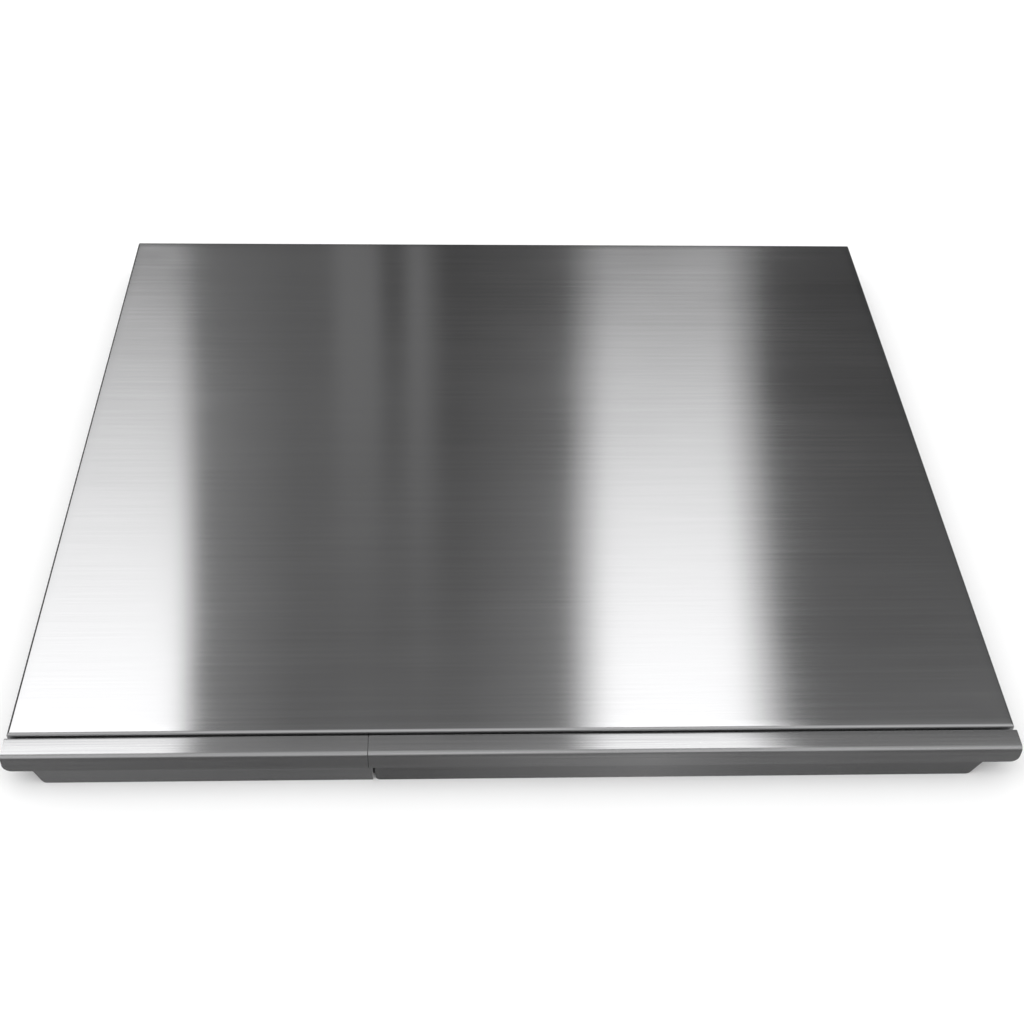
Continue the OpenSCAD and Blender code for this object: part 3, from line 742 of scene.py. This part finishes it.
def build_lever(node, side):
    """A hand lever hollowed from below, with a boss round the shaft and grip bars under its end."""
    lo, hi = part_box(node)
    shaft_x = lo.x + LEVER_HUB if side < 0 else hi.x - LEVER_HUB
    end_x = hi.x if side < 0 else lo.x
    shaft_y = (lo.y + hi.y) / 2
    edge = 1.4 * MM
    recess = lo.z + 0.16 * (hi.z - lo.z)

    def ring(inset, z):
        return [Vector((x, y, z)) for x, y in lever_outline(shaft_x, shaft_y, end_x, inset)]

    def build_shell(bm):
        quarter = [math.radians(90 * i / 4) for i in range(5)]
        rings = [ring(edge * (1 - math.sin(a)), hi.z - edge * (1 - math.cos(a))) for a in quarter]
        rings += [ring(edge * (1 - math.cos(a)), lo.z + edge * (1 - math.sin(a))) for a in quarter]
        rings.append(ring(edge + 0.9 * MM, lo.z))
        rings.append(ring(edge + 1.2 * MM, lo.z + 0.3 * MM))
        rings.append(ring(edge + 1.3 * MM, recess))
        loft(bm, rings)

    def build_boss(bm):
        bore, rim, height = 3 * MM, 7 * MM, 1.2 * MM
        outline = [(0.3 * MM, rim), (0, rim - 0.2 * MM), (0, bore), (height, bore), (height, rim)]
        turned(bm, outline, place((shaft_x, shaft_y, lo.z), (0, 0, 1)), 40)

    def build_grip_bars(bm):
        bars, pitch, half_width, depth = 5, 3.2, 0.8 * MM, 1.1 * MM
        angles = [math.radians(30 * j) for j in range(7)]
        for k in range(bars):
            x = end_x + side * (4 + pitch * k) * MM
            reach = LEVER_KNOB - 2.9 * MM - (0.9 * MM if k in (0, bars - 1) else 0)
            loft(bm, [
                [Vector((x + half_width * math.cos(a), y, lo.z + depth * (1 - math.sin(a)))) for a in angles]
                for y in (shaft_y - reach, shaft_y + reach)
            ])

    def build(bm):
        build_shell(bm)
        build_boss(bm)
        build_grip_bars(bm)

    return build


# ---------- fixings ----------

def build_nuts(node, axis, bore):
    """Chamfered nuts in the boxes of a CAD node's own nuts."""
    along = [k for k in range(3) if axis[k]][0]

    def build(bm):
        for lo, hi in solids_of(node):
            size = hi - lo
            corners = max(size[k] for k in range(3) if k != along)
            at = (lo + hi) / 2
            at[along] = lo[along]
            hex_nut(bm, place(at, axis), size[along], corners * math.sqrt(3) / 2, bore)

    return build


def build_studs(node, pitch):
    """Threaded studs, welded at the top, in the boxes of a CAD node's studs."""
    plain = 0.8 * MM

    def build(bm):
        for lo, hi in solids_of(node):
            radius = (hi.x - lo.x) / 2
            where = place(Vector(((lo.x + hi.x) / 2, (lo.y + hi.y) / 2, hi.z)), (0, 0, -1))
            outline = [(0, radius), (plain, radius)] + thread(plain, hi.z - lo.z, radius, pitch)
            turned(bm, outline, where, 24)

    return build


def build_hinge_screws(bm):
    """Pan heads with a slot on the outside, threaded where they pass the wall and the nut."""
    shank, plain, pitch = 2.4 * MM, 2.5 * MM, 0.8 * MM
    # Shares of the head's height and radius, from the wall outwards
    dome = [(0, 0.97), (0.12, 1), (0.45, 1), (0.75, 0.9), (0.93, 0.7), (1, 0.42)]
    for lo, hi in solids_of("hinge_screws"):
        head = (hi.x - lo.x) / 2
        neck = Vector(((lo.x + hi.x) / 2, hi.y - SCREW_HEAD, (lo.z + hi.z) / 2))
        outline = [(0, shank), (plain, shank)] + thread(plain, neck.y - lo.y, shank, pitch)
        turned(bm, outline, place(neck, (0, -1, 0)), 24)
        outward = place(neck, (0, 1, 0))
        for half_turn in (0, math.pi):
            face = outward @ Matrix.Rotation(half_turn, 4, "Z")
            rings = []
            for level, share in dome:
                ring = []
                for i in range(17):
                    angle = math.pi * i / 16
                    x = head * share * math.cos(angle)
                    y = max(SLOT_HALF, head * share * math.sin(angle))
                    ring.append(face @ Vector((x, y, SCREW_HEAD * level)))
                rings.append(ring)
            loft(bm, rings)
        low, high = 0.02 * MM, SCREW_HEAD / 2
        floor = [(-head * 0.93, low), (head * 0.93, low), (head * 0.9, high), (-head * 0.9, high)]
        loft(bm, [[outward @ Vector((x, y, z)) for x, z in floor] for y in (-SLOT_HALF, SLOT_HALF)])


# ---------- welds ----------

def weld_run(bm, start, end, radius, away, seed):
    """A rippled fillet from start to end. away points from the joint's corner to the open side."""
    start, end, away = Vector(start), Vector(end), Vector(away).normalized()
    length = (end - start).length
    travel = (end - start).normalized()
    side = travel.cross(away).normalized()
    steps = max(6, round(length / (0.55 * MM)))
    angles = [math.radians(36 * k) for k in range(10)]
    rings = []
    for i in range(steps + 1):
        share = i / steps
        taper = min(1.0, min(share, 1 - share) * length / radius + 0.35)
        uneven = noise.noise(Vector((share * length * 400, seed, 0.5)))
        ripple = 1 + 0.09 * math.sin(share * length / (0.5 * MM)) + 0.08 * uneven
        r = radius * taper * ripple
        centre = start.lerp(end, share)
        rings.append([
            centre + away * (r * math.cos(a) * 0.7 - 0.1 * radius) + side * r * math.sin(a)
            for a in angles
        ])
    loft(bm, rings)


def build_lid_welds(bm):
    """Stitches along the stiffeners' flanges, and runs up the inside of the pan's corners."""
    under = pan_hi.z - SHEET
    level = under - SHEET / 2
    stitch, gap, end_room = 14 * MM, 48 * MM, 16 * MM
    stitch_radius, corner_radius = 1.7 * MM, 1.1 * MM
    seed = 0
    for node, along in (("front_stiffener", 0), ("rear_stiffener", 0), ("rib_left", 1),
                        ("rib_centre", 1), ("rib_right", 1)):
        lo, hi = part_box(node)
        other = 1 - along
        length = hi[along] - lo[along]
        count = max(2, int(length / (stitch + gap)) + 1)
        for k in range(count):
            middle = lo[along] + end_room + (length - 2 * end_room) * k / (count - 1)
            for edge, sign in ((lo[other], -1), (hi[other], 1)):
                a, b = [0, 0, level], [0, 0, level]
                a[along], b[along] = middle - stitch / 2, middle + stitch / 2
                a[other] = b[other] = edge
                away = [0, 0, -1]
                away[other] = sign
                weld_run(bm, a, b, stitch_radius, away, seed)
                seed += 1
    low, high = pan_lo.z + 1 * MM, under - 1 * MM
    for x, sx in ((pan_lo.x + SHEET, 1), (pan_hi.x - SHEET, -1)):
        for y, sy in ((pan_lo.y + SHEET, 1), (pan_hi.y - SHEET, -1)):
            weld_run(bm, (x, y, low), (x, y, high), corner_radius, (sx, sy, 0), seed)
            seed += 1
    for vert in bm.verts:
        vert.co.z = min(vert.co.z, under + WELD_ROOT)


def build_coaming_welds(bm):
    """Fillets down the gussets' edges and in their bends, and stitches from the gutter tray to the rail."""
    gusset_lo, gusset_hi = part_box("corner_gussets")
    low, high = gusset_lo.z + 1 * MM, gusset_hi.z - 1 * MM
    leg, thick = 24 * MM, 2 * MM
    edge_radius, bend_radius, tray_radius = 1.2 * MM, 1.0 * MM, 0.8 * MM
    seed = 50
    for x, sx in ((gusset_lo.x, 1), (gusset_hi.x, -1)):
        for y, sy in ((gusset_lo.y, 1), (gusset_hi.y, -1)):
            away = (sx, sy, 0)
            for at_x, at_y, radius in (
                (x + sx * leg, y, edge_radius),
                (x, y + sy * leg, edge_radius),
                (x + sx * thick, y + sy * thick, bend_radius),
            ):
                weld_run(bm, (at_x, at_y, low), (at_x, at_y, high), radius, away, seed)
                seed += 1
    tray_lo, tray_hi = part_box("gutter_tray")
    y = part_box("front_rail")[0].y - 0.7 * MM
    count, half, end_room = 9, 9 * MM, 24 * MM
    for k in range(count):
        middle = tray_lo.x + end_room + (tray_hi.x - tray_lo.x - 2 * end_room) * k / (count - 1)
        weld_run(bm, (middle - half, y, tray_hi.z), (middle + half, y, tray_hi.z), tray_radius,
                 (0, -1, 1), seed)
        seed += 1


# ---------- assembly ----------

def build_object():
    finish_cad_nodes()
    pan = new_piece("lid_pan", build_pan, lid_finish, "lid", ["lid_skin"])
    pan.data.materials.append(mill_finish)
    for face in pan.data.polygons:
        face.material_index = int(in_the_pan(face))
    for end, lo, hi, free_left in (
        ("left", sill_left_lo, sill_left_hi, True),
        ("right", sill_right_lo, sill_right_hi, False),
    ):
        sill = new_piece("sill_trim_" + end, build_sill(lo, hi, free_left), trim_finish, "coaming",
                         ["sill_" + end])
        deburr(sill, SILL_BREAK, 50)
    # Each apron gets its own tone: lighter on the left as painted light, darker on the right as painted
    # shade.
    for end, finish, outer_left, slope, inner_corner in (
        ("left", apron_finish_painted_lighter, True, LEFT_SLOPE, 0),
        ("right", apron_finish_painted_darker, False, RIGHT_SLOPE, SLIT_CORNER),
    ):
        node = "apron_" + end
        apron = new_piece("apron_sheet_" + end, build_apron(node, outer_left, slope, inner_corner), finish,
                          "coaming", [node])
        deburr(apron, APRON_BREAK, 50)
    # Black mastic as painted shade in the seam and behind the slit's upper half.
    new_piece("joint_mastic_painted_shade", build_painted_shade_mastic, rubber_finish, "coaming")
    new_piece("seal_profile", build_seal, rubber_finish, "coaming", ["coaming_seal"])
    for side, end in ((-1, "left"), (1, "right")):
        body, lever, nut = "dog_" + end, "dog_lever_" + end, "dog_nut_" + end
        new_piece("moulded_lever_" + end, build_lever(lever, side), nylon_finish, body,
                  [lever])
        new_piece("lock_nut_" + end, build_nuts(nut, (0, 0, 1), 2.45 * MM), fixing_finish, body,
                  [nut])
    for name, node, axis, bore, body in (
        ("hinge_wall_nuts", "hinge_screw_nuts", (0, 1, 0), 2.35 * MM, "coaming"),
        ("hinge_end_nuts", "hinge_pin_nuts", (1, 0, 0), 3.0 * MM, "coaming"),
        ("arm_nuts", "lid_stud_nuts", (0, 0, 1), 1.9 * MM, "lid"),
        ("boss_nuts", "boss_stud_nuts", (0, 0, 1), 1.4 * MM, "lid"),
    ):
        new_piece(name, build_nuts(node, axis, bore), fixing_finish, body, [node])
    for name, node, pitch in (("arm_studs", "lid_studs", 0.7 * MM),
                              ("boss_thread_studs", "boss_studs", 0.5 * MM)):
        new_piece(name, build_studs(node, pitch), fixing_finish, "lid", [node])
    new_piece("hinge_bolts", build_hinge_screws, fixing_finish, "coaming", ["hinge_screws"])
    new_piece("lid_weld_runs", build_lid_welds, weld_finish, "lid")
    new_piece("coaming_weld_runs", build_coaming_welds, weld_finish, "coaming")
    for node in SHEET_NODES:
        soften_cad(node, SHEET_BREAK)
    for node in PLATE_NODES + TURNED_NODES:
        soften_cad(node, PLATE_BREAK)


# ---------- studio ----------

def level_curve(tree, value, levels):
    """Grey level over a value, from (value, level) pairs, and the peak that it is divided by."""
    low, high = levels[0][0], levels[-1][0]
    peak = max(level for _, level in levels)
    ramp = add(tree, "ShaderNodeValToRGB", {"Fac": share_of(tree, value, low, high)})
    elements = ramp.color_ramp.elements
    while len(elements) > 1:
        elements.remove(elements[-1])
    elements[0].position = 0
    elements[0].color = (levels[0][1] / peak,) * 3 + (1,)
    for at, level in levels[1:]:
        elements.new((at - low) / (high - low)).color = (level / peak,) * 3 + (1,)
    return ramp.outputs[0], peak


def elevation(tree, vector):
    """Angle in degrees about X (0 at the back, 90 overhead, 180 at the front), and the X part."""
    split = add(tree, "ShaderNodeSeparateXYZ", {0: vector})
    radians = add(tree, "ShaderNodeMath", {0: split.outputs["Z"], 1: split.outputs["Y"]},
                  operation="ARCTAN2").outputs[0]
    return maths(tree, "MULTIPLY", radians, math.degrees(1)), split.outputs["X"]


def share_of(tree, value, low, high):
    return span(tree, value, 0, 1, low, high)


# What the lid shows of each card against elevation, which rises towards the overhead end
STRIP_LEVELS = [(25, 0.02), (33, 0.26), (38.5, 0.5), (43.5, 0.7), (48, 0.86), (52, 0.98), (60, 1.2),
                (80, 1.3)]
PANEL_LEVELS = [(25, 0.072), (33, 0.087), (42, 0.101), (52, 0.088), (60, 0.09), (80, 0.15)]
PALE_LEVELS = [(25, 0.13), (33, 0.142), (42, 0.114), (52, 0.09), (60, 0.088), (80, 0.15)]
GREY_LEVELS = [(25, 0.036), (33, 0.053), (42, 0.092), (52, 0.086), (60, 0.09), (80, 0.15)]
RIGHT_GLOW_LEVELS = [(25, 0.05), (33, 0.068), (43, 0.136), (52, 0.153), (60, 0.16), (80, 0.24)]
LEFT_GLOW_LEVELS = [(25, 0.08), (33, 0.11), (38, 0.15), (43, 0.175), (52, 0.165), (60, 0.145), (80, 0.2)]
SHADE_LEVELS = [(25, 0.02), (33, 0.0224), (38.5, 0.036), (43.5, 0.057), (48, 0.069), (52, 0.074),
                (60, 0.094), (80, 0.24)]
# What the lid shows of the room round the cards, against elevation
ROOM_LEVELS = [(-180, 0.05), (-168, 0.055), (-150, 0.09), (-122, 0.095), (-105, 0.25), (-60, 0.36),
               (-25, 0.3), (-8, 0.12), (2, 0.05), (25, 0.028), (33, 0.032), (38.5, 0.05), (43.5, 0.07),
               (48, 0.083), (52, 0.09), (60, 0.115), (80, 0.24), (100, 0.34), (125, 0.42), (150, 0.4),
               (168, 0.1), (180, 0.05)]
# How much brighter the room is low down at the front, against the sideways part of a direction
FRONT_LEVELS = [(-0.6, 3.0), (-0.36, 0.7), (-0.25, 0.45), (-0.12, 0.2), (-0.02, 0.36), (0.06, 0.95),
                (0.13, 1.62), (0.2, 0.82), (0.28, 0.55), (0.36, 0.52), (0.6, 3.0)]
# Elevations between which the front's own levels fade in
FRONT_FADE = (-100, -125)


def softbox(name, x0, x1, levels, soft_left, soft_right, flare=0.0, radius=2.0):
    """A strip from x0 to x1 that only reflections see, bent about the X axis at a radius.

    Its sides fade in over soft_left and soft_right, and flare moves the right side out with elevation.
    """
    low, high = levels[0][0], levels[-1][0]
    steps = 40
    bm = bmesh.new()
    rows = []
    for i in range(steps + 1):
        angle = math.radians(low + (high - low) * i / steps)
        rows.append([bm.verts.new((x, radius * math.cos(angle), radius * math.sin(angle)))
                     for x in (x0, x1 + flare)])
    for a, b in zip(rows, rows[1:]):
        bm.faces.new((a[0], a[1], b[1], b[0]))
    mesh = bpy.data.meshes.new(name)
    bm.to_mesh(mesh)
    bm.free()
    card = new_object(name, mesh)
    material, tree = blank_material(name)
    angle, across = elevation(tree, add(tree, "ShaderNodeTexCoord").outputs["Object"])
    level, peak = level_curve(tree, angle, levels)
    glow = add(tree, "ShaderNodeEmission", {"Color": level, "Strength": peak / LID_TONE})
    clear = add(tree, "ShaderNodeBsdfTransparent")
    left = share_of(tree, across, x0, x0 + soft_left)
    edge = maths(tree, "ADD", across, span(tree, angle, flare, -flare, low, high))
    right = share_of(tree, edge, x1, x1 - soft_right)
    cover = maths(tree, "MULTIPLY", left, right)
    mixed = add(tree, "ShaderNodeMixShader", {0: cover, 1: clear.outputs[0], 2: glow.outputs[0]})
    add(tree, "ShaderNodeOutputMaterial", {0: mixed.outputs[0]})
    mesh.materials.append(material)
    card.visible_camera = False
    card.visible_diffuse = False
    card.visible_shadow = False


def build_softboxes():
    """Where cards overlap, the one with the smaller radius covers the other."""
    softbox("strip_right", 0.192, 0.637, STRIP_LEVELS, soft_left=0.085, soft_right=0.1, flare=0.05)
    softbox("strip_left", -1.6, -0.546, STRIP_LEVELS, soft_left=0.1, soft_right=0.048)
    softbox("panel_middle", -0.6, -0.05, PANEL_LEVELS, soft_left=0.05, soft_right=0.03, radius=2.02)
    softbox("panel_pale", -0.292, -0.18, PALE_LEVELS, soft_left=0.03, soft_right=0.02)
    softbox("panel_grey", -0.187, -0.13, GREY_LEVELS, soft_left=0.02, soft_right=0.02, radius=1.99)
    softbox("panel_pale_thin", -0.136, -0.08, PALE_LEVELS, soft_left=0.02, soft_right=0.02, radius=1.98)
    softbox("glow_right", -0.02, 0.4, RIGHT_GLOW_LEVELS, soft_left=0.27, soft_right=0.05, radius=2.01)
    softbox("glow_left", -0.65, -0.36, LEFT_GLOW_LEVELS, soft_left=0.02, soft_right=0.2, radius=2.01)
    softbox("shade_right", 0.6, 3.0, SHADE_LEVELS, soft_left=0.3, soft_right=0.01, radius=2.03)


def build_world():
    """Pale surroundings for the floor, and a dim room with a brighter ceiling for reflections."""
    pale_strength = 1.1
    world = bpy.data.worlds.new("studio")
    bpy.context.scene.world = world
    world.use_nodes = True
    tree = world.node_tree
    tree.nodes.clear()
    angle, sideways = elevation(tree, add(tree, "ShaderNodeTexCoord").outputs["Generated"])
    level, peak = level_curve(tree, angle, ROOM_LEVELS)
    front, front_peak = level_curve(tree, sideways, FRONT_LEVELS)
    brighter = maths(tree, "MULTIPLY", front, front_peak)
    ends = {0: share_of(tree, angle, *FRONT_FADE), 2: 1.0, 3: brighter}
    gain = add(tree, "ShaderNodeMix", ends, data_type="FLOAT").outputs[0]
    seen = tint(tree, gain, level)
    room = add(tree, "ShaderNodeBackground", {"Color": seen, "Strength": peak / LID_TONE})
    pale = add(tree, "ShaderNodeBackground", {"Color": (1, 1, 1, 1), "Strength": pale_strength})
    glossy = add(tree, "ShaderNodeLightPath").outputs["Is Glossy Ray"]
    mixed = add(tree, "ShaderNodeMixShader", {0: glossy, 1: pale.outputs[0], 2: room.outputs[0]})
    add(tree, "ShaderNodeOutputWorld", {0: mixed.outputs[0]})


def build_floor():
    """A pale floor that is clear from below, so that the hatch's underside can be seen."""
    size = 20
    mesh = bpy.data.meshes.new("floor")
    mesh.from_pydata([(-size, -size, 0), (size, -size, 0), (size, size, 0), (-size, size, 0)], [],
                     [(0, 1, 2, 3)])
    floor = new_object("floor", mesh)
    material, tree = blank_material("floor_paint")
    mottle = stretched(tree, (9, 9, 9), 4)
    colour = tint(tree, span(tree, mottle, 0.985, 1.0), (0.93, 0.93, 0.93))
    paint = add(tree, "ShaderNodeBsdfPrincipled", {
        "Base Color": colour, "Roughness": 0.9, "Metallic": 0.0, "Specular IOR Level": 0.1,
    })
    below = add(tree, "ShaderNodeNewGeometry").outputs["Backfacing"]
    clear = add(tree, "ShaderNodeBsdfTransparent").outputs[0]
    mixed = add(tree, "ShaderNodeMixShader", {0: below, 1: paint.outputs[0], 2: clear})
    add(tree, "ShaderNodeOutputMaterial", {0: mixed.outputs[0]})
    mesh.materials.append(material)
    floor.visible_glossy = False


def build_key_light():
    """A large soft light overhead, a little to the left and to the front."""
    light = bpy.data.lights.new("key", "AREA")
    light.size = 2.2
    light.energy = 9
    key = new_object("key", light)
    key.location = (-0.5, -0.4, 2.0)
    key.rotation_euler = (-key.location).to_track_quat("-Z", "Y").to_euler()
    key.visible_glossy = False


def build_camera():
    """In front of the sill and a little left of the middle, looking down at about 44 degrees."""
    at = Vector((-0.0380, -0.7945, 0.7273))
    forward = Vector((0.0401, 0.7222, -0.6905)).normalized()
    roll = math.radians(2.03)
    camera = new_object("camera", bpy.data.cameras.new("camera"))
    camera.data.lens = 52.03
    camera.data.clip_start = 0.01
    aim = forward.to_track_quat("-Z", "Y").to_matrix().to_4x4()
    camera.matrix_world = Matrix.Translation(at) @ aim @ Matrix.Rotation(roll, 4, "Z")
    bpy.context.scene.camera = camera


build_camera()
build_world()
build_floor()
build_key_light()
build_softboxes()
build_object()
bpy.context.scene.view_settings.view_transform = "Standard"
